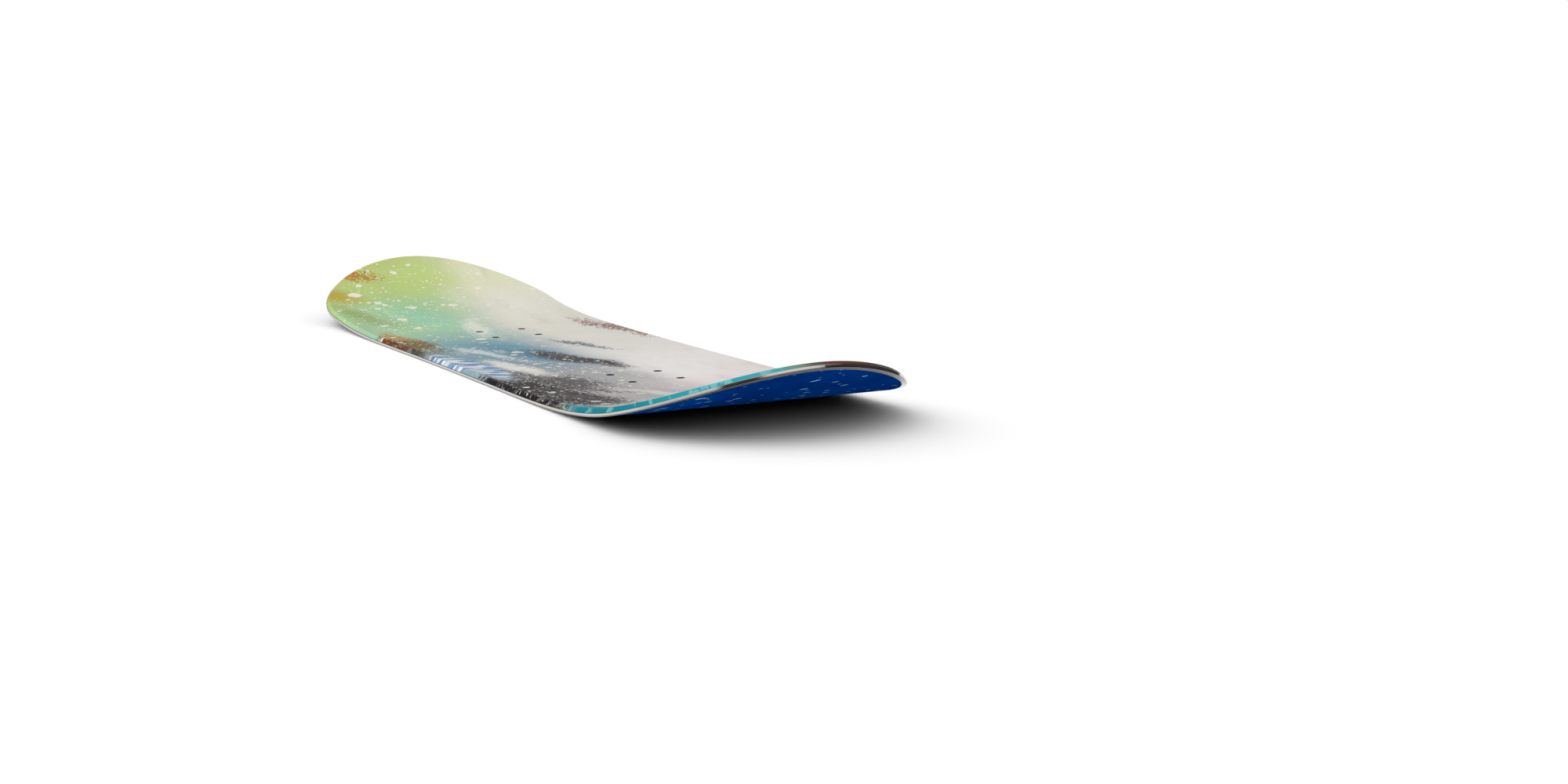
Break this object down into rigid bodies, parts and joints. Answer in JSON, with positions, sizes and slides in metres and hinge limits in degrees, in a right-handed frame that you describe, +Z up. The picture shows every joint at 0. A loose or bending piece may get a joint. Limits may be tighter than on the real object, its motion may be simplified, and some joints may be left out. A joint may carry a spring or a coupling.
{
  "type": "snowboard",
  "caption": "Small twin-tip snowboard with a steel edge all round, a blue base, a printed cap top sheet and threaded inserts for bindings.",
  "frame": {"origin": "on the ground under the middle of the board, halfway between the two squares of inserts", "axes": "+X along the board to the nose, +Y across it to the left of someone who faces the nose, +Z up from the base to the top sheet"},
  "size_m": [0.821, 0.222, 0.0519],
  "materials": {
    "top_print": "glossy printed film with a colour wash and pale flecks",
    "base_blue": "royal blue polyethylene, waxed, with fine pale flecks",
    "edge_steel": "polished, with fine lengthwise grinding",
    "insert_steel": "dull plated steel",
    "damping_rubber": "matt black",
    "laminate": "glass fibre in resin",
    "sidewall_plastic": "dark grey moulded plastic",
    "hard_wood": "planed hardwood",
    "light_wood": "planed light wood"
  },
  "bodies": {
    "root": {"base_sheet_tail": "base_blue", "base_sheet_middle": "base_blue", "base_sheet_nose": "base_blue", "steel_edge_left_tail": "edge_steel", "steel_edge_left_middle": "edge_steel", "steel_edge_left_nose": "edge_steel", "steel_edge_right_tail": "edge_steel", "steel_edge_right_middle": "edge_steel", "steel_edge_right_nose": "edge_steel", "edge_damping_strip_left": "damping_rubber", "edge_damping_strip_right": "damping_rubber", "lower_laminate": "laminate", "sidewall_left_tail": "sidewall_plastic", "sidewall_left_middle": "sidewall_plastic", "sidewall_left_nose": "sidewall_plastic", "sidewall_right_tail": "sidewall_plastic", "sidewall_right_middle": "sidewall_plastic", "sidewall_right_nose": "sidewall_plastic", "nose_spacer": "sidewall_plastic", "tail_spacer": "sidewall_plastic", "upper_laminate": "laminate", "top_sheet": "top_print", "core_heart_strip_left_tail": "hard_wood", "core_heart_strip_left_tail_foot_rear": "hard_wood", "core_heart_strip_left_tail_foot_front": "hard_wood", "core_heart_strip_left_nose_foot_rear": "hard_wood", "core_heart_strip_left_nose_foot_front": "hard_wood", "core_heart_strip_left_nose": "hard_wood", "core_strip_left_1_tail": "light_wood", "core_strip_left_1_middle": "light_wood", "core_strip_left_1_nose": "light_wood", "core_strip_left_2_tail": "light_wood", "core_strip_left_2_middle": "light_wood", "core_strip_left_2_nose": "light_wood", "core_strip_left_3_tail": "light_wood", "core_strip_left_3_middle": "light_wood", "core_strip_left_3_nose": "light_wood", "core_heart_strip_right_tail": "hard_wood", "core_heart_strip_right_tail_foot_rear": "hard_wood", "core_heart_strip_right_tail_foot_front": "hard_wood", "core_heart_strip_right_nose_foot_rear": "hard_wood", "core_heart_strip_right_nose_foot_front": "hard_wood", "core_heart_strip_right_nose": "hard_wood", "core_strip_right_1_tail": "light_wood", "core_strip_right_1_middle": "light_wood", "core_strip_right_1_nose": "light_wood", "core_strip_right_2_tail": "light_wood", "core_strip_right_2_middle": "light_wood", "core_strip_right_2_nose": "light_wood", "core_strip_right_3_tail": "light_wood", "core_strip_right_3_middle": "light_wood", "core_strip_right_3_nose": "light_wood", "insert_nose_foot_front_left": "insert_steel", "insert_nose_foot_front_right": "insert_steel", "insert_nose_foot_rear_left": "insert_steel", "insert_nose_foot_rear_right": "insert_steel", "insert_tail_foot_front_left": "insert_steel", "insert_tail_foot_front_right": "insert_steel", "insert_tail_foot_rear_left": "insert_steel", "insert_tail_foot_rear_right": "insert_steel"}
  },
  "joints": []
}
